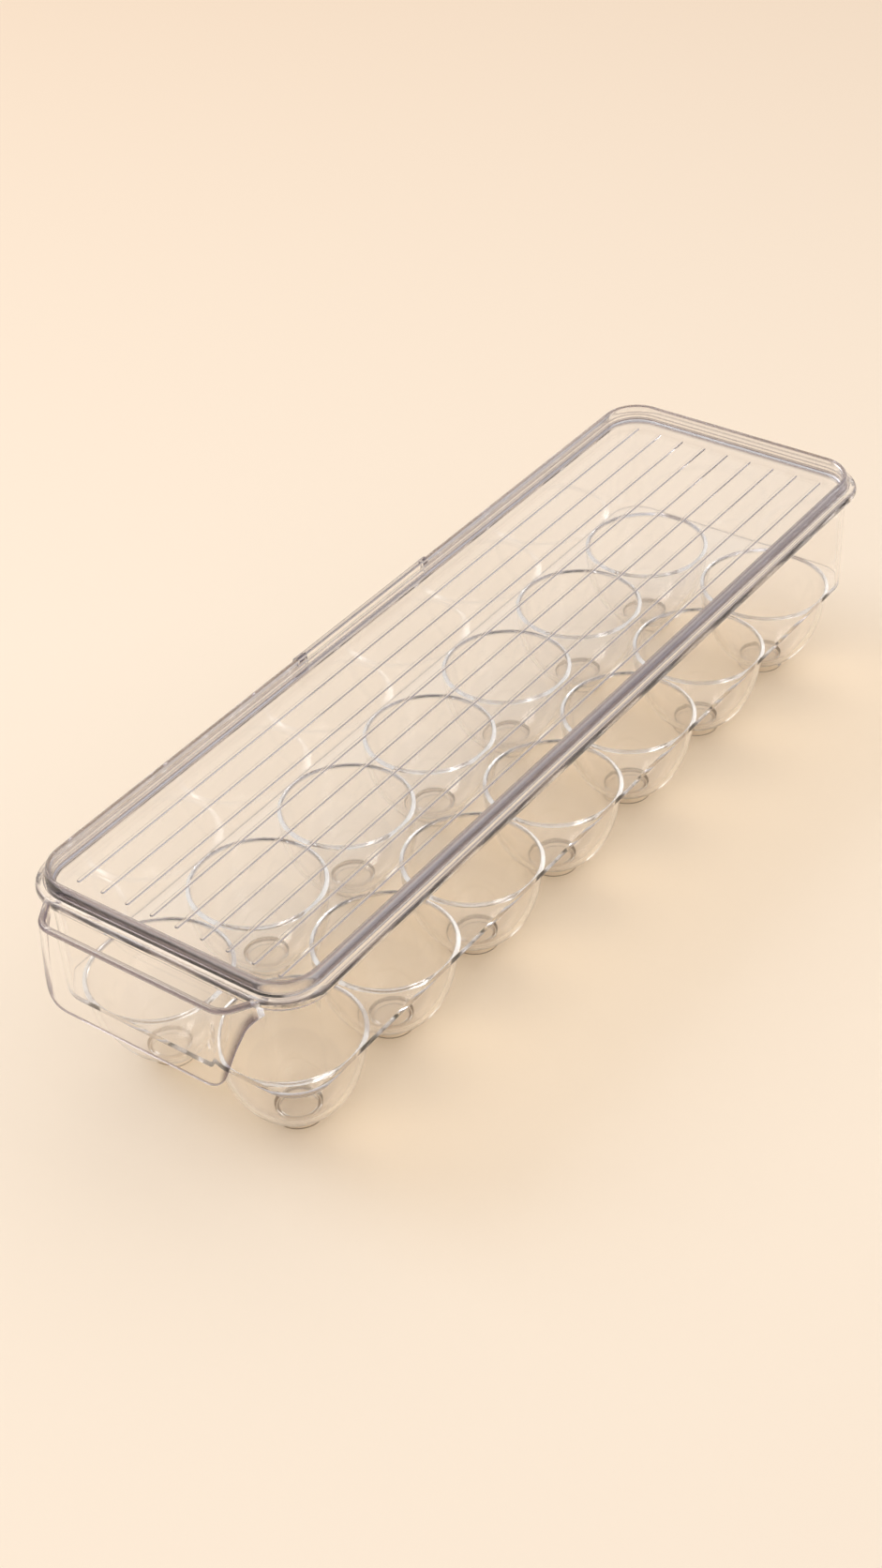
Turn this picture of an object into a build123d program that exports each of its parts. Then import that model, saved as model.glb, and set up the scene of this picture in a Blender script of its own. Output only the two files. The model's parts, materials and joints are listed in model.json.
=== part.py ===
from build123d import *
import math
import os

# Egg keeper: a clear moulded tray with hanging egg cups, a carry handle and a hinged lid.
# Millimetres, +Z up. The cups stand on z = 0, the handle points to -Y, the hinge is on -X.
# Every piece is drawn about the middle of the tray, then moved along Y by TRAY_MIDDLE_Y.

# Plan of the lid: a rounded rectangle. All the other outlines are offsets of it.
LID_HALF_X = 52.3
LID_HALF_Y = 171.5
LID_CORNER = 14.0

# Offsets from the lid's outer face, positive outwards.
WALL_THICK = 1.6
LID_EDGE_THICK = 1.8
LID_GAP = 0.4
WALL_TOP_OUT = -0.5
WALL_FOOT_OUT = -1.3
LEDGE_OUT = 2.0
FLANGE_OUT = 3.3

# Heights above the surface that the keeper stands on.
DECK_TOP = 36.2
DECK_THICK = 1.6
LEDGE_TOP = 75.2
LEDGE_THICK = 1.6
FLANGE_BOTTOM = 75.4
RIM_TOP = 78.0
PANEL_THICK = 1.6
LID_TOP = 82.65

# Egg cups: two rows of seven half-ellipsoid bowls, each on a small standing ring.
CUP_ROW_X = 26.3
CUP_PITCH = 48.6
CUPS_PER_ROW = 7
CUP_RADIUS = 24.2
CUP_WALL = 1.7
CUP_BELLY_BOTTOM = 0.7
CUP_INNER_BOTTOM = 2.4
FOOT_OUTER = 8.5
FOOT_INNER = 6.9
QUARTER_PULL = 0.5523

# Stiffening ribs on top of the lid panel.
RIB_COUNT = 9
RIB_PITCH = 10.0
RIB_LENGTH = 323.6
RIB_WIDTH = 1.6
RIB_HEIGHT = 0.6

# Carry handle: a rolled lip that stands off the front of the rim, with an apron hanging from it.
HANDLE_FRONT = 184.6
HANDLE_HALF = 36.2
HANDLE_SPREAD = 0.62
HANDLE_CORNER = 8.0
HANDLE_ROOT = 160.0
LIP_WIDTH = 2.4
LIP_THICK = 2.4
LIP_ROUND = 1.0
APRON_THICK = 1.8
APRON_BOTTOM = 46.7
APRON_FLARE = 1.7
APRON_HALF_BOTTOM = 34.6
APRON_HALF_TOP = 41.5
APRON_LOW_ROUND = 9.0
APRON_HIGH_ROUND = 7.0
SKIRT_BOTTOM = 72.5

# Hinge: stub pins on the ends of a lug that takes the place of the lid's edge at mid length.
HINGE_X = -52.2
HINGE_Z = 80.2
BARREL_RADIUS = 1.7
PIN_RADIUS = 0.8
PIN_LENGTH = 3.3
BORE_CLEARANCE = 0.05
BORE_DEPTH = 3.2
EYE_LENGTH = 3.7
LUG_HALF = 33.6
LUG_GAP = 0.3
LUG_ROUND = 2.0

RIM_ROUND = 1.0
EDGE_ROUND = 0.6
FAR = 400.0

TRAY_MIDDLE_Y = (HANDLE_FRONT + APRON_FLARE - LID_HALF_Y - FLANGE_OUT) / 2
PANEL_TOP = LEDGE_TOP + PANEL_THICK
LID_INNER_X = LID_HALF_X - LID_EDGE_THICK


def write(name, shape):
    """Moves a piece into the keeper's own frame and writes it as one STEP file."""
    export_step(Pos(0, TRAY_MIDDLE_Y, 0) * shape, f"parts/{name}.step")


def block(x_range, y_range, z_range):
    """Box between the given limits."""
    sizes = [high - low for low, high in (x_range, y_range, z_range)]
    middle = [(high + low) / 2 for low, high in (x_range, y_range, z_range)]
    return Pos(*middle) * Box(*sizes)


def rod(radius, y_start, y_end):
    """Round bar on the hinge axis, between two places along Y."""
    middle = (y_start + y_end) / 2
    return Pos(HINGE_X, middle, HINGE_Z) * Rot(90, 0, 0) * Cylinder(radius, abs(y_end - y_start))


def outline(offset_out):
    """The lid's rounded rectangle, moved outwards."""
    size_x = 2 * (LID_HALF_X + offset_out)
    size_y = 2 * (LID_HALF_Y + offset_out)
    return RectangleRounded(size_x, size_y, LID_CORNER + offset_out)


def slab(offset_out, bottom, top):
    """Upright-sided plate on an offset outline."""
    return extrude(Pos(0, 0, bottom) * outline(offset_out), amount=top - bottom)


def ring(outer, inner, bottom, top):
    """Upright-sided band between two offset outlines."""
    return slab(outer, bottom, top) - slab(inner, bottom, top)


def drafted(foot, head, bottom, top):
    """Plate whose outline grows from foot to head, as a moulding does to leave its tool."""
    return loft([Pos(0, 0, bottom) * outline(foot), Pos(0, 0, top) * outline(head)], ruled=True)


def tray_wall():
    """Upright drafted wall round the deck, from the deck up to the rim."""
    top = LEDGE_TOP - LEDGE_THICK
    outside = drafted(WALL_FOOT_OUT, WALL_TOP_OUT, DECK_TOP, top)
    inside = drafted(WALL_FOOT_OUT - WALL_THICK, WALL_TOP_OUT - WALL_THICK, DECK_TOP, top)
    return outside - inside


def tray_rim():
    """Stepped rim: a ledge that the lid rests on, an upright lip and an outward flange."""
    ledge = ring(LEDGE_OUT, WALL_TOP_OUT - WALL_THICK, LEDGE_TOP - LEDGE_THICK, LEDGE_TOP)
    lip = ring(LEDGE_OUT, LID_GAP, LEDGE_TOP, RIM_TOP)
    flange = ring(FLANGE_OUT, LID_GAP, FLANGE_BOTTOM, RIM_TOP)
    rim = ledge + lip + flange
    return fillet(rim.faces().sort_by(Axis.Z)[-1].outer_wire().edges(), RIM_ROUND)


def bowl_side(radius, depth):
    """Quarter of an ellipse, from the bowl's rim down to its lowest point."""
    return Bezier(
        (radius, 0),
        (radius, -QUARTER_PULL * depth),
        (QUARTER_PULL * radius, -depth),
        (0, -depth),
    )


def cup_bowl():
    """Half-ellipsoid bowl of even wall with a standing ring, centred on the Z axis."""
    rim_z = DECK_TOP - DECK_THICK
    inner_radius = CUP_RADIUS - CUP_WALL
    outer_depth = rim_z - CUP_BELLY_BOTTOM
    inner_depth = rim_z - CUP_INNER_BOTTOM
    shell = make_face([
        bowl_side(CUP_RADIUS, outer_depth),
        Line((0, -outer_depth), (0, -inner_depth)),
        bowl_side(inner_radius, inner_depth),
        Line((inner_radius, 0), (CUP_RADIUS, 0)),
    ])
    foot_height = rim_z - outer_depth * math.sqrt(1 - (FOOT_INNER / CUP_RADIUS) ** 2) + CUP_WALL / 2
    foot = Pos(FOOT_INNER, 0) * Rectangle(FOOT_OUTER - FOOT_INNER, foot_height, align=Align.MIN)
    return revolve(Plane.XZ * (Pos(0, rim_z) * shell + foot), Axis.Z)


def egg_cup(row, place, bowl):
    """One cup with its own cell of the deck. The cells meet edge to edge and form the deck."""
    x = CUP_ROW_X * row
    y = CUP_PITCH * place
    ends = CUPS_PER_ROW // 2
    x_range = (0, FAR) if row > 0 else (-FAR, 0)
    y_low = -FAR if place == -ends else y - CUP_PITCH / 2
    y_high = FAR if place == ends else y + CUP_PITCH / 2
    bottom = DECK_TOP - DECK_THICK
    deck = slab(WALL_FOOT_OUT, bottom, DECK_TOP)
    cell = deck & block(x_range, (y_low, y_high), (bottom, DECK_TOP))
    mouth = Pos(x, y, bottom) * Cylinder(CUP_RADIUS - CUP_WALL, 3 * DECK_THICK)
    return cell - mouth + Pos(x, y, 0) * bowl


def handle_plan():
    """Plan of the handle's outer face: a straight front with slanting, rounded ends."""
    root_half = HANDLE_HALF + HANDLE_SPREAD * (HANDLE_FRONT - HANDLE_ROOT)
    corners = [
        (-root_half, -HANDLE_ROOT),
        (-HANDLE_HALF, -HANDLE_FRONT),
        (HANDLE_HALF, -HANDLE_FRONT),
        (root_half, -HANDLE_ROOT),
    ]
    plan = make_face(Polyline(*corners, close=True))
    return fillet(plan.vertices().sort_by(Axis.Y)[:2], HANDLE_CORNER)


def apron_front():
    """Front view of the handle, extruded along Y: the apron, and a short skirt on its arms."""
    corners = [
        (-HANDLE_FRONT, SKIRT_BOTTOM),
        (-APRON_HALF_TOP, SKIRT_BOTTOM),
        (-APRON_HALF_BOTTOM, APRON_BOTTOM),
        (APRON_HALF_BOTTOM, APRON_BOTTOM),
        (APRON_HALF_TOP, SKIRT_BOTTOM),
        (HANDLE_FRONT, SKIRT_BOTTOM),
        (HANDLE_FRONT, LID_TOP),
        (-HANDLE_FRONT, LID_TOP),
    ]
    view = make_face(Polyline(*corners, close=True))
    low_corners = view.vertices().group_by(Axis.Y)[0]
    view = fillet(low_corners, APRON_LOW_ROUND)
    high_corners = [
        corner for corner in view.vertices()
        if abs(abs(corner.X) - APRON_HALF_TOP) < EDGE_ROUND
    ]
    view = fillet(high_corners, APRON_HIGH_ROUND)
    return extrude(Plane.XZ * view, amount=FAR)


def carry_handle():
    """Lip and apron in one piece, with the finger gap between the lip and the rim."""
    plan = handle_plan()
    lip_bottom = RIM_TOP - LIP_THICK
    lip = extrude(Pos(0, 0, lip_bottom) * (plan - offset(plan, -LIP_WIDTH)), amount=LIP_THICK)
    lip = fillet(lip.faces().sort_by(Axis.Z)[-1].edges(), LIP_ROUND)
    low_outer = Pos(0, 0, APRON_BOTTOM) * offset(plan, APRON_FLARE)
    low_inner = Pos(0, 0, APRON_BOTTOM) * offset(plan, APRON_FLARE - APRON_THICK)
    high_outer = Pos(0, 0, lip_bottom) * plan
    high_inner = Pos(0, 0, lip_bottom) * offset(plan, -APRON_THICK)
    apron = loft([low_outer, high_outer], ruled=True) - loft([low_inner, high_inner], ruled=True)
    apron &= apron_front()
    rim_room = slab(FLANGE_OUT, FLANGE_BOTTOM, LID_TOP) + slab(LEDGE_OUT, 0, FLANGE_BOTTOM)
    return lip + apron - rim_room


def hinge_lug():
    """Stands on the ledge where the lid's edge is left out, and carries both stub pins."""
    y_range = (-LUG_HALF, LUG_HALF)
    plate = block((-LID_HALF_X, -LID_INNER_X), y_range, (LEDGE_TOP, LID_TOP))
    plate = fillet(plate.edges().filter_by(Axis.X).group_by(Axis.Z)[-1], LUG_ROUND)
    heel = block((-LID_HALF_X - LID_GAP, -LID_INNER_X), y_range, (LEDGE_TOP, RIM_TOP))
    saddle = block((HINGE_X - BARREL_RADIUS, -LID_INNER_X), y_range, (RIM_TOP, HINGE_Z))
    return plate + heel + saddle + rod(BARREL_RADIUS, *y_range)


def hinge_pin(side):
    """Stub pin on one end of the lug, chamfered to snap into the lid's eye."""
    pin = rod(PIN_RADIUS, side * LUG_HALF, side * (LUG_HALF + PIN_LENGTH))
    tip = pin.faces().sort_by(Axis.Y)[-1 if side > 0 else 0]
    return chamfer(tip.edges(), PIN_RADIUS / 4)


def lug_notch():
    """Room in the lid for the lug."""
    half = LUG_HALF + LUG_GAP
    return block((-FAR, -LID_INNER_X + LUG_GAP), (-half, half), (0, FAR))


def lid_panel():
    """Flat lid plate with the raised stiffening ribs."""
    panel = slab(0, LEDGE_TOP, PANEL_TOP) - lug_notch()
    first = -(RIB_COUNT - 1) / 2 * RIB_PITCH
    for number in range(RIB_COUNT):
        rib = extrude(SlotOverall(RIB_LENGTH, RIB_WIDTH, rotation=90), amount=RIB_HEIGHT)
        rib = fillet(rib.faces().sort_by(Axis.Z)[-1].edges(), RIB_HEIGHT / 2)
        panel += Pos(first + number * RIB_PITCH, 0, PANEL_TOP) * rib
    return panel


def lid_rim():
    """Upstanding edge round the lid, with a blind-bored hinge eye at each side of the lug."""
    edge = ring(0, -LID_EDGE_THICK, PANEL_TOP, LID_TOP)
    edge = fillet(edge.faces().sort_by(Axis.Z)[-1].edges(), EDGE_ROUND)
    edge -= lug_notch()
    start = LUG_HALF + LUG_GAP
    for side in (-1, 1):
        edge += rod(BARREL_RADIUS, side * start, side * (start + EYE_LENGTH))
        edge -= rod(PIN_RADIUS + BORE_CLEARANCE, side * start, side * (start + BORE_DEPTH))
    return edge


os.makedirs("parts", exist_ok=True)

write("tray_wall", tray_wall())
write("tray_rim", tray_rim())
write("carry_handle", carry_handle())
write("hinge_lug", hinge_lug())
write("hinge_pin_front", hinge_pin(-1))
write("hinge_pin_rear", hinge_pin(1))
write("lid_panel", lid_panel())
write("lid_rim", lid_rim())

one_bowl = cup_bowl()
number = 0
for row in (1, -1):
    for place in range(-(CUPS_PER_ROW // 2), CUPS_PER_ROW // 2 + 1):
        number += 1
        write(f"egg_cup_{number:02d}", egg_cup(row, place, one_bowl))
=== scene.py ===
import json
import math

import bmesh
import bpy
from mathutils import Matrix, Vector


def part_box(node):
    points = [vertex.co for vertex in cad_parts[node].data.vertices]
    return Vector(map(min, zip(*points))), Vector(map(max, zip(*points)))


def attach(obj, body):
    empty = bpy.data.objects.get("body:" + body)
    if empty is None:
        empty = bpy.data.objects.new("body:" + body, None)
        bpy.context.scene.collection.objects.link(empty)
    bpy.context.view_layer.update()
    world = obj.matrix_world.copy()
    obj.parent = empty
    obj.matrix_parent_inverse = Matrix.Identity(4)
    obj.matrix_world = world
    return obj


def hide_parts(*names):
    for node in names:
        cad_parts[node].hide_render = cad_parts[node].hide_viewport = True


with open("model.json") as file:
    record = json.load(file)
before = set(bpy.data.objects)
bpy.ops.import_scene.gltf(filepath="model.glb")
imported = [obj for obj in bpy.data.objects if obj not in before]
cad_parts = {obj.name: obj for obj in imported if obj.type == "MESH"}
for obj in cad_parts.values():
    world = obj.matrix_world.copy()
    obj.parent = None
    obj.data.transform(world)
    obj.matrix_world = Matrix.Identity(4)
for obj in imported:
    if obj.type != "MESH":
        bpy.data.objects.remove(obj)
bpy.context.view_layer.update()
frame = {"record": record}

# ---- Tray shell -------------------------------------------------------------------------
# Cups, deck, wall and stepped rim leave one mould together, in clear polystyrene, so they
# are one skin here. It is carried round the rim's section, and every cup hangs from the deck.
MM = 0.001
rim_low, rim_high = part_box("tray_rim")
panel_low, panel_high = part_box("lid_panel")
tray_middle = Vector((0, (rim_low.y + rim_high.y) / 2, 0))
lid_half = Vector((panel_high.x, (panel_high.y - panel_low.y) / 2, 0))
lid_corner = 14 * MM
core = lid_half - Vector((lid_corner, lid_corner, 0))
corner_steps = 10

wall_thick = 1.6 * MM
lid_gap = 0.4 * MM
wall_top = -0.5 * MM
wall_foot = -1.3 * MM
ledge_out = 2.0 * MM
flange_out = 3.3 * MM
deck_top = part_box("egg_cup_01")[1].z
deck_thick = 1.6 * MM
deck_bottom = deck_top - deck_thick
ledge_top = panel_low.z
ledge_bottom = rim_low.z
flange_bottom = 75.4 * MM
rim_top = rim_high.z
edge_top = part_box("lid_rim")[1].z
soft_edge = 0.5 * MM
crease = 0.2 * MM
foot_round = 0.6 * MM
rim_round = 1.6 * MM
ledge_round = 2.2 * MM
mouth_round = 0.3 * MM
lead = 3 * MM
weld = 0.002 * MM

cup_row = 26.3 * MM
cup_pitch = 48.6 * MM
cups_in_row = 7
cup_radius = 24.0 * MM
cup_wall = 1.5 * MM
cup_low = 0.7 * MM
cup_inner_low = 2.4 * MM
foot_outer = 8.5 * MM
foot_inner = 6.9 * MM
foot_soft = 0.3 * MM
bowl_rings = 12
bowl_end = math.radians(88)
cup_sides = 64


def rounded(corners, steps=4):
    """Points of a section whose corners, given as (out, height, radius), are rounded off."""
    points = []
    for index, (out, height, radius) in enumerate(corners):
        here = Vector((out, height))
        if radius == 0 or index in (0, len(corners) - 1):
            points.append(here)
            continue
        before = (Vector(corners[index - 1][:2]) - here).normalized()
        after = (Vector(corners[index + 1][:2]) - here).normalized()
        half_turn = before.angle(after) / 2
        centre = here + (before + after).normalized() * radius / math.sin(half_turn)
        start = here + before * radius / math.tan(half_turn) - centre
        end = here + after * radius / math.tan(half_turn) - centre
        points += [centre + start.slerp(end, step / steps) * radius for step in range(steps + 1)]
    return points


def bow(start, end, steps):
    """Points of a quarter-ellipse from start, which it leaves upright, to end, where it is level."""
    turns = [math.radians(90) * step / steps for step in range(steps + 1)]
    return [
        Vector((
            end[0] + (start[0] - end[0]) * math.cos(turn),
            start[1] + (end[1] - start[1]) * math.sin(turn),
        ))
        for turn in turns
    ]


def edges_between(verts):
    """The edges whose two ends are both among these vertices, each once and in order."""
    known = set(verts)
    edges = dict.fromkeys(edge for vert in verts for edge in vert.link_edges)
    return [edge for edge in edges if set(edge.verts) <= known]


def set_out(verts, out, height):
    """Puts a loop at an offset outside the lid's plan and at a height."""
    for vert in verts:
        flat = vert.co - tray_middle
        anchor = Vector((
            max(-core.x, min(core.x, flat.x)),
            max(-core.y, min(core.y, flat.y)),
            0,
        ))
        away = Vector((flat.x - anchor.x, flat.y - anchor.y, 0)).normalized()
        vert.co = tray_middle + anchor + away * (lid_corner + out)
        vert.co.z = height


def outline(bm, out, height):
    """Makes the lid's rounded rectangle as a loop of vertices."""
    corners = bmesh.ops.create_grid(bm, x_segments=1, y_segments=1, size=1)["verts"]
    for vert in corners:
        vert.co = tray_middle + Vector((vert.co.x * lid_half.x, vert.co.y * lid_half.y, 0))
    bmesh.ops.bevel(
        bm, geom=corners, offset=lid_corner, offset_type="OFFSET",
        segments=corner_steps, profile=0.5, affect="VERTICES", material=-1,
    )
    face = max(bm.faces, key=lambda part: len(part.verts))
    loop = list(face.verts)
    bmesh.ops.delete(bm, geom=[face], context="FACES_ONLY")
    set_out(loop, out, height)
    return loop


def carry(bm, loop, section):
    """Extrudes an outline loop through the points of a section and returns the last loop."""
    for out, height in section:
        made = bmesh.ops.extrude_edge_only(bm, edges=edges_between(loop))["geom"]
        loop = [part for part in made if isinstance(part, bmesh.types.BMVert)]
        set_out(loop, out, height)
    return loop


def sheet_with_holes(bm, loops, up):
    """Fills the flat space between an outline and the holes in it."""
    edges = [edge for loop in loops for edge in edges_between(loop)]
    bmesh.ops.triangle_fill(bm, use_beauty=True, use_dissolve=False, edges=edges, normal=(0, 0, up))


def ring_of(bm, centre, radius, height, sides):
    """A loop of vertices in a circle."""
    place = Matrix.Translation((centre.x, centre.y, height))
    made = bmesh.ops.create_circle(bm, cap_ends=False, radius=radius, segments=sides, matrix=place)
    return made["verts"]


def hang(bm, loop, centre, section):
    """Extrudes a ring through (radius, height) points and closes the last one."""
    for radius, height in section:
        made = bmesh.ops.extrude_edge_only(bm, edges=edges_between(loop))["geom"]
        loop = [part for part in made if isinstance(part, bmesh.types.BMVert)]
        for vert in loop:
            away = Vector((vert.co.x - centre.x, vert.co.y - centre.y, 0)).normalized()
            vert.co = Vector((centre.x, centre.y, height)) + away * radius
    bmesh.ops.contextual_create(bm, geom=edges_between(loop))


def bowl_section(radius, low, start, end):
    """Points down a half-ellipsoid bowl, from angle start to angle end, 0 being its rim."""
    points = []
    for step in range(bowl_rings + 1):
        angle = start + (end - start) * step / bowl_rings
        height = deck_bottom - (deck_bottom - low) * math.sin(angle)
        points.append((radius * math.cos(angle), height))
    return points


def finished(name, bm):
    """Turns a bmesh into an object with its faces outwards."""
    bmesh.ops.remove_doubles(bm, verts=bm.verts, dist=weld)
    bmesh.ops.recalc_face_normals(bm, faces=bm.faces)
    mesh = bpy.data.meshes.new(name)
    bm.to_mesh(mesh)
    bm.free()
    made = bpy.data.objects.new(name, mesh)
    bpy.context.scene.collection.objects.link(made)
    return made


# The first and last points only give the corners beside them their direction.
outer_section = rounded([
    (wall_foot - lead, deck_bottom, 0),
    (wall_foot, deck_bottom, foot_round),
    (wall_top, ledge_bottom, soft_edge),
    (ledge_out, ledge_bottom, soft_edge),
    (ledge_out, flange_bottom, soft_edge),
    (flange_out, flange_bottom, soft_edge),
    (flange_out, rim_top, rim_round),
    (lid_gap, rim_top, soft_edge),
    (lid_gap, ledge_top, crease),
    (wall_top - wall_thick, ledge_top, ledge_round),
    (wall_foot - wall_thick, deck_top, crease),
    (wall_foot - wall_thick - lead, deck_top, 0),
])
tray_bm = bmesh.new()
under_loop = outline(tray_bm, *outer_section[1])
over_loop = carry(tray_bm, under_loop, outer_section[2:-1])
inner_radius = cup_radius - cup_wall
foot_angle = math.acos(foot_outer / cup_radius)
inside_foot_angle = math.acos(foot_inner / cup_radius)
under_holes = []
over_holes = []
for row in (1, -1):
    for place in range(cups_in_row):
        along = (place - (cups_in_row - 1) / 2) * cup_pitch
        centre = tray_middle + Vector((row * cup_row, along, 0))
        under = ring_of(tray_bm, centre, cup_radius, deck_bottom, cup_sides)
        outside = bowl_section(cup_radius, cup_low, 0, foot_angle)[1:]
        outside += [
            (foot_outer, foot_soft), (foot_outer - foot_soft, 0),
            (foot_inner + foot_soft, 0), (foot_inner, foot_soft),
        ]
        outside += bowl_section(cup_radius, cup_low, inside_foot_angle, bowl_end)
        hang(tray_bm, under, centre, outside)
        over = ring_of(tray_bm, centre, inner_radius + mouth_round, deck_top, cup_sides)
        inside = rounded([
            (inner_radius + mouth_round, deck_top, 0),
            (inner_radius, deck_top, mouth_round),
            (inner_radius, deck_bottom, 0),
        ])[1:-1]
        inside += bowl_section(inner_radius, cup_inner_low, 0, bowl_end)
        hang(tray_bm, over, centre, inside)
        under_holes.append(under)
        over_holes.append(over)
sheet_with_holes(tray_bm, [under_loop, *under_holes], -1)
sheet_with_holes(tray_bm, [over_loop, *over_holes], 1)
tray = finished("tray", tray_bm)

# ---- Carry handle -----------------------------------------------------------------------
# A lip stands off the front of the rim and an apron hangs from it, so that fingers go down
# through the gap and pull. Both are the tray's own sheet, folded over in the mould.
handle_front = 184.6 * MM
handle_half = 36.2 * MM
handle_spread = 0.62
handle_root = 160 * MM
handle_corner = 8 * MM
handle_thick = 1.8 * MM
lip_width = 2.4 * MM
lip_height = 2.4 * MM
lip_round = 1.15 * MM
hair = 0.02 * MM
lip_top = rim_top - hair
lip_bottom = rim_top - lip_height
fold_round = 0.3 * MM
skirt_low = 72.5 * MM
apron_flare = 1.7 * MM
apron_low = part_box("carry_handle")[0].z
apron_half_low = 34.6 * MM
apron_half_high = 41.5 * MM
apron_low_round = 9 * MM
apron_high_round = 7 * MM
apron_foot_round = 0.8 * MM
handle_station = 0.8 * MM
handle_bite = 2.6 * MM


def divided(points, longest):
    """The same path with no stretch longer than this."""
    path = []
    for start, end in zip(points, points[1:]):
        parts = max(1, math.ceil((end - start).length / longest))
        path += [start.lerp(end, part / parts) for part in range(parts)]
    return [*path, points[-1]]


def level_at(profile, x):
    """Height of a profile, given as points from the outside in, at a distance from the middle."""
    for far, near in zip(profile, profile[1:]):
        if near.x <= x <= far.x:
            share = (x - near.x) / max(far.x - near.x, 1e-9)
            return near.y + (far.y - near.y) * share
    return profile[0].y


def settled(base):
    """Applies a piece's modifiers to its mesh."""
    graph = bpy.context.evaluated_depsgraph_get()
    base.data = bpy.data.meshes.new_from_object(base.evaluated_get(graph))
    base.modifiers.clear()


def combine(base, tool, operation):
    """Joins a closed mesh to another or cuts it away, and drops the tool."""
    step = base.modifiers.new("step", "BOOLEAN")
    step.operation = operation
    step.solver = "EXACT"
    step.object = tool
    settled(base)
    bpy.data.objects.remove(tool)


def plug(out, low, high):
    """A solid block on an offset of the lid's outline."""
    bm = bmesh.new()
    bottom = outline(bm, out, low)
    bmesh.ops.contextual_create(bm, geom=edges_between(bottom))
    top = carry(bm, bottom, [(out, high)])
    bmesh.ops.contextual_create(bm, geom=edges_between(top))
    return finished("plug", bm)


root_half = handle_half + handle_spread * (handle_front - handle_root)
handle_path = divided(rounded([
    (-root_half, -handle_root, 0),
    (-handle_half, -handle_front, handle_corner),
    (handle_half, -handle_front, handle_corner),
    (root_half, -handle_root, 0),
], steps=12), handle_station)
apron_edge = rounded([
    (root_half + lip_width, skirt_low, 0),
    (apron_half_high, skirt_low, apron_high_round),
    (apron_half_low, apron_low, apron_low_round),
    (0, apron_low, 0),
], steps=16)


def handle_section(place, away):
    """The folded sheet's closed section at one place on the path. How far the apron flares
    and how low it reaches depend on each other, and settle in three rounds."""
    out = 0
    for _ in range(3):
        level = level_at(apron_edge, abs(place.x + away.x * out))
        out = apron_flare * (lip_bottom - level) / (lip_bottom - apron_low)
    start = (-lip_width / 2, lip_top)
    return rounded([
        (*start, 0),
        (0, lip_top, lip_round),
        (0, lip_bottom, 0),
        (out, level, apron_foot_round),
        (out - handle_thick, level, apron_foot_round),
        (-handle_thick, lip_bottom, 0),
        (-lip_width, lip_bottom + fold_round, fold_round),
        (-lip_width, lip_top, lip_round),
        (*start, 0),
    ])


directions = [(end - start).normalized() for start, end in zip(handle_path, handle_path[1:])]
turns = [a + b for a, b in zip([directions[0], *directions], [*directions, directions[-1]])]
outwards = [Vector((turn.y, -turn.x)).normalized() for turn in turns]
sections = [handle_section(place, away) for place, away in zip(handle_path, outwards)]
handle_bm = bmesh.new()
station = handle_bm.verts.layers.int.new("station")
row = [handle_bm.verts.new((0, 0, 0)) for place in handle_path]
for index, vert in enumerate(row):
    vert[station] = index
for start, end in zip(row, row[1:]):
    handle_bm.edges.new((start, end))
for level in range(len(sections[0])):
    if level > 0:
        made = bmesh.ops.extrude_edge_only(handle_bm, edges=edges_between(row))["geom"]
        row = [part for part in made if isinstance(part, bmesh.types.BMVert)]
    for vert in row:
        index = vert[station]
        out, height = sections[index][level]
        flat = handle_path[index] + outwards[index] * out
        vert.co = tray_middle + Vector((flat.x, flat.y, height))
bmesh.ops.remove_doubles(handle_bm, verts=handle_bm.verts, dist=weld)
bmesh.ops.holes_fill(handle_bm, edges=handle_bm.edges, sides=0)
handle = finished("handle", handle_bm)
combine(handle, plug(handle_bite, apron_low - MM, edge_top), "DIFFERENCE")
combine(tray, handle, "UNION")

# ---- Hinge lug and stub pins ------------------------------------------------------------
# At mid length of the hinge side the tray itself carries the edge: a lug as high as the lid's
# own edge, with a barrel along its back and a stub pin standing out of each end.
lug_low, lug_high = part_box("hinge_lug")
pin_low, pin_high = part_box("hinge_pin_rear")
lug_inner = lug_high.x
lug_back = -lid_half.x
barrel_radius = 1.7 * MM
hinge = Vector(((pin_low.x + pin_high.x) / 2, 0, (pin_low.z + pin_high.z) / 2))
pin_radius = (pin_high.x - pin_low.x) / 2
panel_thick = 1.6 * MM
panel_top = panel_low.z + panel_thick
edge_thick = 1.8 * MM
edge_lean = 1.0 * MM
edge_draft = 0.3 * MM
edge_top_round = 0.6 * MM
edge_foot_round = 1.2 * MM
lug_draft = 0.2 * MM
seat_gap = 0.06 * MM
seat = ledge_top + seat_gap
bite = 0.4 * MM


def block(name, low, high):
    """A closed box between two corners."""
    bm = bmesh.new()
    bmesh.ops.create_cube(bm, size=1, matrix=Matrix.Translation((0.5, 0.5, 0.5)))
    bmesh.ops.transform(bm, matrix=Matrix.Diagonal((high - low).to_4d()), verts=bm.verts)
    bmesh.ops.translate(bm, vec=low, verts=bm.verts)
    return finished(name, bm)


def bar(name, radius, start, end, soft=0):
    """A closed round bar on the hinge axis, with its ends' rims softened if soft is given."""
    bm = bmesh.new()
    middle = Matrix.Translation((hinge.x, (start + end) / 2, hinge.z))
    turn = Matrix.Rotation(math.pi / 2, 4, "X")
    bmesh.ops.create_cone(
        bm, cap_ends=True, segments=32, radius1=radius, radius2=radius,
        depth=abs(end - start), matrix=middle @ turn,
    )
    if soft:
        rims = [edge for edge in bm.edges if edge.calc_face_angle() > math.radians(60)]
        bmesh.ops.bevel(
            bm, geom=rims, offset=soft, offset_type="OFFSET", segments=3,
            profile=0.5, affect="EDGES", material=-1,
        )
    return finished(name, bm)


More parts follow.
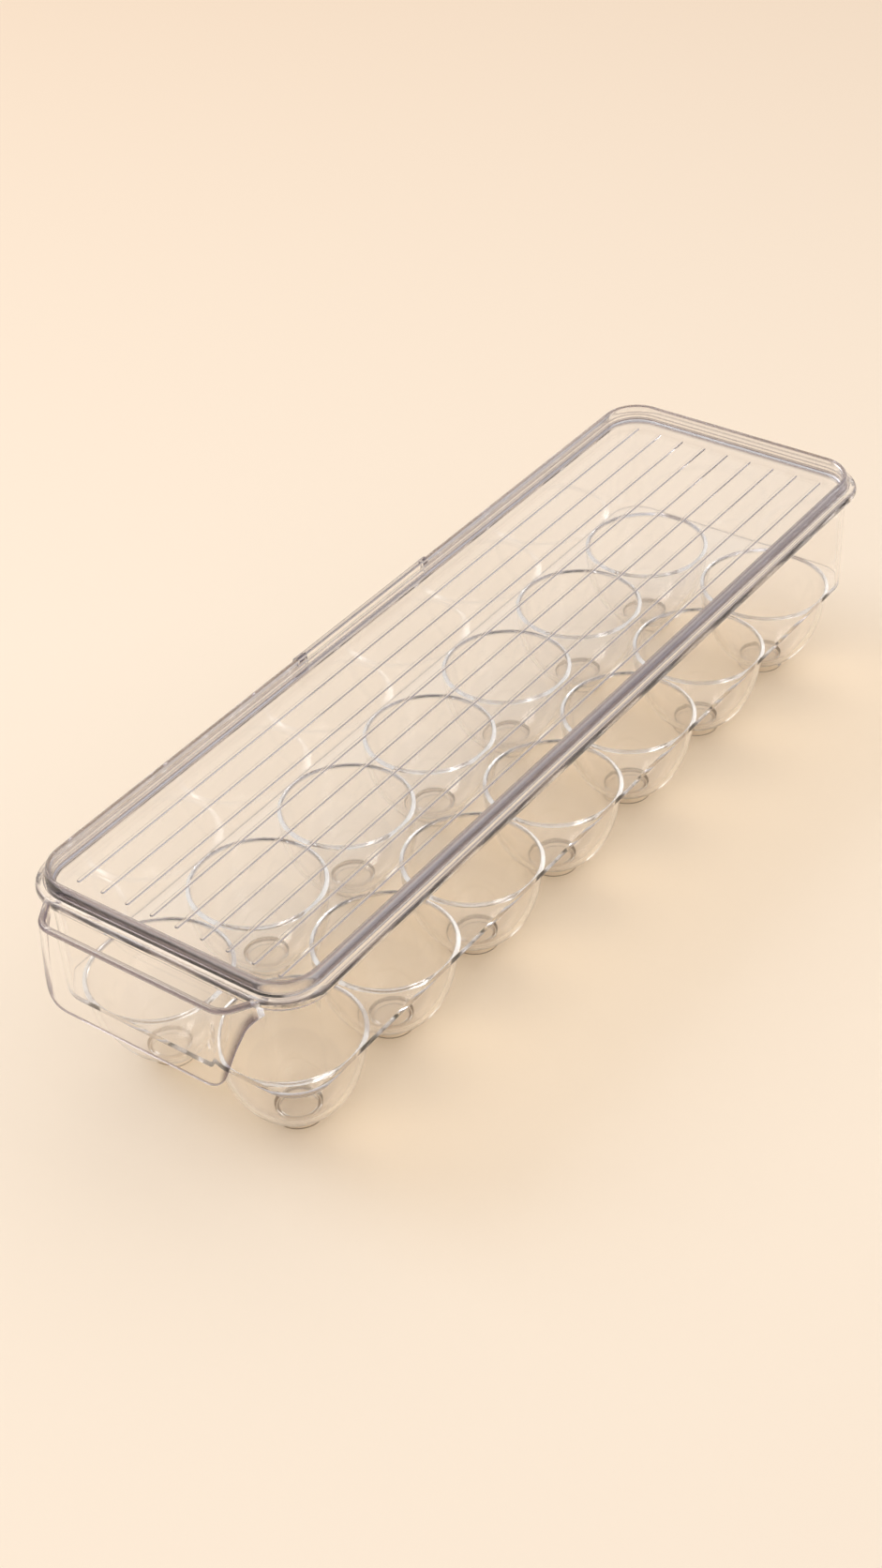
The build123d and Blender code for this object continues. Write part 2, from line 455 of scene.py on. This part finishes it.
# The lug carries the lid's edge on between the joint lines, so both are made from its outside
# and its inside corners.
edge_outside = [
    *rounded([(-lead, seat, 0), (0, seat, soft_edge), (0, rim_top, 0)])[1:-1],
    *bow((0, rim_top), (-edge_lean, edge_top), steps=10),
]
edge_top_corner = rounded([
    (0, edge_top, 0),
    (-edge_thick, edge_top, edge_top_round),
    (-edge_thick - edge_draft, panel_top, 0),
])[1:-1]
edge_foot_corner = rounded([
    (-edge_thick, edge_top, 0),
    (-edge_thick - edge_draft, panel_top, edge_foot_round),
    (-edge_thick - lead, panel_top, 0),
])[1:-1]
lug_foot = (-edge_thick - lug_draft, ledge_top - bite)
lug_section = [*edge_outside, *edge_top_corner, lug_foot, edge_outside[0]]
plate_bm = bmesh.new()
carry(plate_bm, outline(plate_bm, *lug_section[0]), lug_section[1:])
plate = finished("plate", plate_bm)
lug_room = block(
    "lug_room", Vector((2 * lug_back, lug_low.y, 0)), Vector((0, lug_high.y, 2 * lug_high.z)),
)
combine(plate, lug_room, "INTERSECT")
saddle = block(
    "saddle", Vector((lug_low.x, lug_low.y, flange_bottom + bite)),
    Vector((lug_inner - bite, lug_high.y, hinge.z)),
)
combine(plate, saddle, "UNION")
combine(plate, bar("barrel", barrel_radius, lug_low.y, lug_high.y), "UNION")
for side in (-1, 1):
    end = lug_high.y if side > 0 else lug_low.y
    tip = end + side * (pin_high.y - pin_low.y)
    combine(plate, bar("pin", pin_radius, end - side * bite, tip, pin_radius / 4), "UNION")
combine(tray, plate, "UNION")

# ---- Clear plastic ----------------------------------------------------------------------
# Both mouldings are crystal polystyrene: water-clear with a faint warm cast, glossy, with
# slow ripples left by the mould and a trace of haze from handling. Their base colour also
# carries painted shade: a dark lilac grey along edges, rounds and slants, where refraction
# makes clear plastic look dark.


class Wire:
    """A shader socket with Python's arithmetic on it."""

    def __init__(self, tree, socket=None):
        self.tree = tree
        self.socket = socket

    def node(self, kind, settings, sockets, output=0):
        """Adds any node: its settings first, then the values or links of its sockets."""
        made = self.tree.nodes.new(kind)
        for name, value in settings.items():
            setattr(made, name, value)
        for name, value in sockets.items():
            if isinstance(value, Wire):
                self.tree.links.new(value.socket, made.inputs[name])
            else:
                made.inputs[name].default_value = value
        return Wire(self.tree, made.outputs[output]) if made.outputs else None

    def maths(self, operation, first, second):
        return self.node("ShaderNodeMath", {"operation": operation}, {0: first, 1: second})

    def __add__(self, other):
        return self.maths("ADD", self, other)

    def __mul__(self, other):
        return self.maths("MULTIPLY", self, other)

    def __sub__(self, other):
        return self.maths("SUBTRACT", self, other)

    def __rsub__(self, other):
        return self.maths("SUBTRACT", other, self)

    __radd__ = __add__
    __rmul__ = __mul__

    def size(self):
        """The value without its sign."""
        return self.maths("ABSOLUTE", self, 0)

    def ramp(self, start, end):
        """Goes from 0 to 1 as this value goes from start to end."""
        return self.node("ShaderNodeMapRange", {}, {"Value": self, "From Min": start, "From Max": end})


thin_plastic = (0.995, 0.99, 0.985, 1)
# Painted shade: the dark lilac grey that edges, rounds and slants are painted towards.
painted_shade_colour = (0.26, 0.225, 0.27, 1)
shade_tint = (0.83, 0.79, 0.71, 1)
crease_angle = math.radians(38)

# How far each place of painted shade goes from the thin plastic's colour to the painted shade
# colour, and between which heights, slopes or distances it sets in.
slant_grey = 0.35
slant_band = (0.4, 1)
turn_grey = 3.2
deck_edge_grey = 0.5
fold_grey = 1.5
fold_slope = (0.01, 0.15)
fold_level = (0.9, 0.5)
apron_side_share = 0.7
apron_side = (2.4 * MM, 0.8 * MM)
edge_side_grey = 0.95
edge_slant = (0.2, 0.45)
edge_core = (edge_top - 0.9 * MM, edge_top - 1.5 * MM)
edge_top_grey = 0.4
edge_top_band = (edge_top - 0.6 * MM, edge_top - 0.1 * MM)
hinge_side_share = 0.3
hinge_side = (-lid_half.x + 2 * MM, -lid_half.x + 6 * MM)
outward_full = 20 * MM
fade = 0.2 * MM


def edge_painted_shade(place, bearing, turned):
    """Paints shade on the lid's upstanding edge along its top and where its outside is seen at a
    slant, where refraction makes it look dark. The painted shade is paler along the hinge side."""
    height = place["Z"]
    outward = (bearing["X"] * place["X"] + bearing["Y"] * place["Y"]).ramp(0, outward_full)
    core = height.ramp(rim_top, rim_top + fade) * height.ramp(*edge_core)
    side = edge_side_grey * turned.ramp(*edge_slant) * outward * core
    top = edge_top_grey * height.ramp(*edge_top_band)
    off_hinge = place["X"].ramp(*hinge_side)
    return (side + top) * (hinge_side_share + (1 - hinge_side_share) * off_hinge)


def tray_painted_shade(place, bearing, turned):
    """Painted shade where the tray's edges look dark by refraction: round the rim, at the cups'
    mouths and along the edge of the handle's sheet."""
    slope = bearing["Z"] * bearing["Z"]
    height = place["Z"]
    rounding = turn_grey * slope * (1 - slope) * height.ramp(deck_bottom - MM, deck_bottom)
    deck_edge = height.ramp(deck_bottom, deck_bottom + mouth_round)
    deck_edge = deck_edge * height.ramp(deck_top, deck_top - mouth_round)
    standing = place["Y"].ramp(rim_low.y, rim_low.y - soft_edge)
    fold = slope.ramp(*fold_slope) * bearing["Z"].ramp(*fold_level)
    side_lean = (apron_half_high - apron_half_low) / (skirt_low - apron_low)
    inward = apron_half_low - side_lean * apron_low + side_lean * height - place["X"].size()
    side = inward.ramp(*apron_side) * height.ramp(flange_bottom, skirt_low)
    folded = fold_grey * standing * (fold + apron_side_share * side)
    return rounding + deck_edge_grey * deck_edge + folded + edge_painted_shade(place, bearing, turned)


def clear_plastic(name, painted_shade_at):
    """Water-clear moulded plastic that lets lamps through, with painted shade greying its edges and
    slants.
    """
    made = bpy.data.materials.new(name)
    made.use_nodes = True
    made.node_tree.nodes.clear()
    blank = Wire(made.node_tree)
    object_place = blank.node("ShaderNodeTexCoord", {}, {}, "Object")
    object_bearing = blank.node("ShaderNodeTexCoord", {}, {}, "Normal")
    place, bearing = [
        {axis: blank.node("ShaderNodeSeparateXYZ", {}, {"Vector": vector}, axis) for axis in "XYZ"}
        for vector in (object_place, object_bearing)
    ]
    turned = blank.node("ShaderNodeLayerWeight", {}, {"Blend": 0.5}, "Facing")
    slant = turned.ramp(*slant_band)
    # Painted shade: how far the base colour goes to the dark grey, along edges and at slants.
    depth = painted_shade_at(place, bearing, turned) + slant_grey * slant * slant
    colour = blank.node(
        "ShaderNodeMix", {"data_type": "RGBA"}, {0: depth, 6: thin_plastic, 7: painted_shade_colour}, 2,
    )
    ripple = blank.node("ShaderNodeTexNoise", {}, {
        "Vector": object_place, "Scale": 45, "Detail": 1.5, "Roughness": 0.4,
    })
    smudge = blank.node("ShaderNodeTexNoise", {}, {
        "Vector": object_place, "Scale": 28, "Detail": 3, "Roughness": 0.6,
    })
    skin = blank.node(
        "ShaderNodeBump", {}, {"Strength": 0.12, "Distance": 0.4 * MM, "Height": ripple},
    )
    shader = blank.node("ShaderNodeBsdfPrincipled", {}, {
        "Base Color": colour, "Roughness": 0.01 + 0.04 * smudge, "IOR": 1.5,
        "Transmission Weight": 1.0, "Normal": skin,
    })
    shade = blank.node("ShaderNodeBsdfTransparent", {}, {"Color": shade_tint})
    lamp_ray = blank.node("ShaderNodeLightPath", {}, {}, "Is Shadow Ray")
    seen = blank.node("ShaderNodeMixShader", {}, {0: lamp_ray, 1: shader, 2: shade})
    blank.node("ShaderNodeOutputMaterial", {}, {"Surface": seen})
    return made


def dressed(piece, material, body, nodes):
    """Smooths a finished piece, gives it its material and ties it to the frame."""
    piece.data.materials.clear()
    piece.data.materials.append(material)
    piece.data.shade_smooth()
    piece.data.set_sharp_from_angle(angle=crease_angle)
    weigh = piece.modifiers.new("flats", "WEIGHTED_NORMAL")
    weigh.keep_sharp = True
    settled(piece)
    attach(piece, body)
    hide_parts(*nodes)


tray_nodes = frame["record"]["behaviour"]["bodies"]["tray"]
dressed(tray, clear_plastic("clear_tray", tray_painted_shade), "tray", tray_nodes)

# ---- Lid --------------------------------------------------------------------------------
# The lid is the second moulding: a flat ribbed panel in a shallow dish, with a hinge eye at
# each side of the tray's lug. It drops into the rim and lies on its ledge.
rib_count = 9
rib_pitch = 10 * MM
rib_half_length = 161.8 * MM
rib_radius = 0.8 * MM
rib_height = 0.45 * MM
rib_side = 0.6 * MM
rib_steps = 4
rib_last_slope = math.radians(80)
rib_cap_sides = 16
notch_gap = 0.3 * MM
eye_start = lug_high.y + notch_gap
eye_length = 3.7 * MM
eye_round = 0.3 * MM
bore_depth = 3.2 * MM
bore_play = 0.05 * MM
bore_radius = pin_radius + bore_play

lid_section = [*edge_outside, *edge_top_corner, *edge_foot_corner]
lid_bm = bmesh.new()
lid_under = outline(lid_bm, *lid_section[0])
lid_over = carry(lid_bm, lid_under, lid_section[1:])
bmesh.ops.contextual_create(lid_bm, geom=edges_between(lid_under))
rib_loops = []
for number in range(rib_count):
    across = (number - (rib_count - 1) / 2) * rib_pitch
    rib_centre = tray_middle + Vector((across, 0, 0))
    turn = Matrix.Translation(rib_centre) @ Matrix.Rotation(math.pi / rib_cap_sides, 4, "Z")
    loop = bmesh.ops.create_circle(
        lid_bm, cap_ends=False, radius=rib_radius, segments=rib_cap_sides, matrix=turn,
    )["verts"]
    for vert in loop:
        forward = 1 if vert.co.y > rib_centre.y else -1
        vert.co.y += forward * (rib_half_length - rib_radius)
        vert.co.z = panel_top
    rib_loops.append(loop)
sheet_with_holes(lid_bm, [lid_over, *rib_loops], 1)
for number, loop in enumerate(rib_loops):
    across = (number - (rib_count - 1) / 2) * rib_pitch
    for step in range(1, rib_steps + 1):
        angle = step / rib_steps * rib_last_slope
        made = bmesh.ops.extrude_edge_only(lid_bm, edges=edges_between(loop))["geom"]
        loop = [part for part in made if isinstance(part, bmesh.types.BMVert)]
        for vert in loop:
            forward = 1 if vert.co.y > tray_middle.y else -1
            cap = tray_middle + Vector((across, forward * (rib_half_length - rib_radius), 0))
            away = Vector((vert.co.x - cap.x, vert.co.y - cap.y, 0)).normalized()
            vert.co = cap + away * (rib_radius - rib_side * (1 - math.cos(angle)))
            vert.co.z = panel_top + rib_height * math.sin(angle)
    bmesh.ops.contextual_create(lid_bm, geom=edges_between(loop))
lid = finished("lid", lid_bm)
notch = block(
    "notch", Vector((lug_low.x - MM, lug_low.y - notch_gap, 0)),
    Vector((lug_inner + notch_gap, lug_high.y + notch_gap, 2 * edge_top)),
)
combine(lid, notch, "DIFFERENCE")
for side in (-1, 1):
    near = tray_middle.y + side * (eye_start - tray_middle.y)
    combine(lid, bar("eye", barrel_radius, near, near + side * eye_length, eye_round), "UNION")
    start = near - side * notch_gap
    combine(lid, bar("bore", bore_radius, start, near + side * bore_depth), "DIFFERENCE")

# How strongly painted shade greys the rounds of the ribs and of the lid's edge.
rib_grey = 3.6
edge_turn_grey = 6.4


def lid_painted_shade(place, bearing, turned):
    """Painted shade where the lid's edges look dark by refraction: round its upstanding edge and its
    ribs.
    """
    slope = bearing["Z"] * bearing["Z"]
    above_ribs = place["Z"].ramp(panel_high.z, panel_high.z + fade)
    strength = rib_grey + (edge_turn_grey - rib_grey) * above_ribs
    return strength * slope * (1 - slope) + edge_painted_shade(place, bearing, turned)


lid_nodes = frame["record"]["behaviour"]["bodies"]["lid"]
dressed(lid, clear_plastic("clear_lid", lid_painted_shade), "lid", lid_nodes)

# ---- Floor ------------------------------------------------------------------------------
# A plain sheet of cream paper lies under the keeper and runs on far behind it. Its cream is
# painted darker on the side away from the handle, as painted shade where the light falls off.
floor_half = 40.0
near_cream = (0.98, 0.845, 0.695, 1)
far_shaded_cream = (0.87, 0.70, 0.54, 1)
far_along = 0.79
far_across = -0.62
shade_falloff = (0.15, 1.1)
floor_bm = bmesh.new()
bmesh.ops.create_grid(floor_bm, x_segments=1, y_segments=1, size=floor_half)
floor = finished("floor", floor_bm)
cream = bpy.data.materials.new("cream_paper")
cream.use_nodes = True
paper = cream.node_tree.nodes["Principled BSDF"]
paper_blank = Wire(cream.node_tree)
paper_place = paper_blank.node("ShaderNodeTexCoord", {}, {}, "Object")
across, along = [
    paper_blank.node("ShaderNodeSeparateXYZ", {}, {"Vector": paper_place}, axis) for axis in "XY"
]
# Painted shade: the paper darkens towards the back of the view.
farness = (far_along * along + far_across * across).ramp(*shade_falloff)
paper_colour = paper_blank.node(
    "ShaderNodeMix", {"data_type": "RGBA"}, {0: farness, 6: near_cream, 7: far_shaded_cream}, 2,
)
cream.node_tree.links.new(paper_colour.socket, paper.inputs["Base Color"])
paper.inputs["Roughness"].default_value = 0.9
paper.inputs["Specular IOR Level"].default_value = 0.1
floor.data.materials.append(cream)

# ---- Camera -----------------------------------------------------------------------------
# The view looks down on the handle's end and the side that lifts, with the camera leaning a
# little to one side and the keeper standing below the middle of the frame.
azimuth = math.radians(38.257)
elevation = math.radians(37.886)
roll = math.radians(-3.903)
aim_height = 76.84 * MM
slide_right = 14.92 * MM
slide_up = 41.39 * MM
distance = 825.9 * MM
back = Vector((
    math.sin(azimuth) * math.cos(elevation), -math.cos(azimuth) * math.cos(elevation),
    math.sin(elevation),
))
level_right = Vector((math.cos(azimuth), math.sin(azimuth), 0))
level_up = back.cross(level_right)
right = level_right * math.cos(roll) + level_up * math.sin(roll)
up = level_up * math.cos(roll) - level_right * math.sin(roll)
eye_point = tray_middle + Vector((0, 0, aim_height))
eye_point += back * distance - right * slide_right - up * slide_up
camera_data = bpy.data.cameras.new("camera")
camera_data.sensor_fit = "VERTICAL"
camera_data.sensor_height = 36
camera_data.lens = 55.51
camera = bpy.data.objects.new("camera", camera_data)
camera.matrix_world = Matrix.Translation(eye_point) @ Matrix((right, up, back)).transposed().to_4x4()
bpy.context.scene.collection.objects.link(camera)
bpy.context.scene.camera = camera

# ---- Light ------------------------------------------------------------------------------
# One broad soft lamp stands high on the hinge side, and an even pale room fills the shadows.
# Light may pass through many faces, because each wall of clear plastic has two.
light_bounces = 64
low_room = (0.48, 0.45, 0.47, 1)
high_room = (1.0, 0.98, 0.96, 1)
lamp_data = bpy.data.lights.new("soft_lamp", "AREA")
lamp_data.shape = "SQUARE"
lamp_data.size = 2.0
lamp_data.energy = 50
lamp_data.color = (1.0, 0.98, 0.95)
lamp = bpy.data.objects.new("soft_lamp", lamp_data)
lamp_place = Vector((-2.5, -0.8, 2.6))
lamp_turn = (lamp_place - tray_middle).to_track_quat("Z", "Y").to_matrix().to_4x4()
lamp.matrix_world = Matrix.Translation(lamp_place) @ lamp_turn
bpy.context.scene.collection.objects.link(lamp)
room = bpy.data.worlds.new("room")
room.use_nodes = True
room_blank = Wire(room.node_tree)
direction = room_blank.node("ShaderNodeTexCoord", {}, {}, "Generated")
height = room_blank.node("ShaderNodeSeparateXYZ", {}, {"Vector": direction}, "Z")
shade_of_room = room_blank.node("ShaderNodeMapRange", {"interpolation_type": "SMOOTHSTEP"}, {
    "Value": height, "From Min": 0.05, "From Max": 0.75, "To Min": 0.0, "To Max": 1.0,
})
room_colour = room_blank.node(
    "ShaderNodeMix", {"data_type": "RGBA"}, {0: shade_of_room, 6: low_room, 7: high_room}, 2,
)
background = room.node_tree.nodes["Background"]
room.node_tree.links.new(room_colour.socket, background.inputs["Color"])
background.inputs["Strength"].default_value = 0.86
bpy.context.scene.world = room
bpy.context.scene.view_settings.view_transform = "Standard"
cycles = bpy.context.scene.cycles
cycles.max_bounces = light_bounces
cycles.transmission_bounces = light_bounces
cycles.glossy_bounces = light_bounces

bpy.context.view_layer.update()
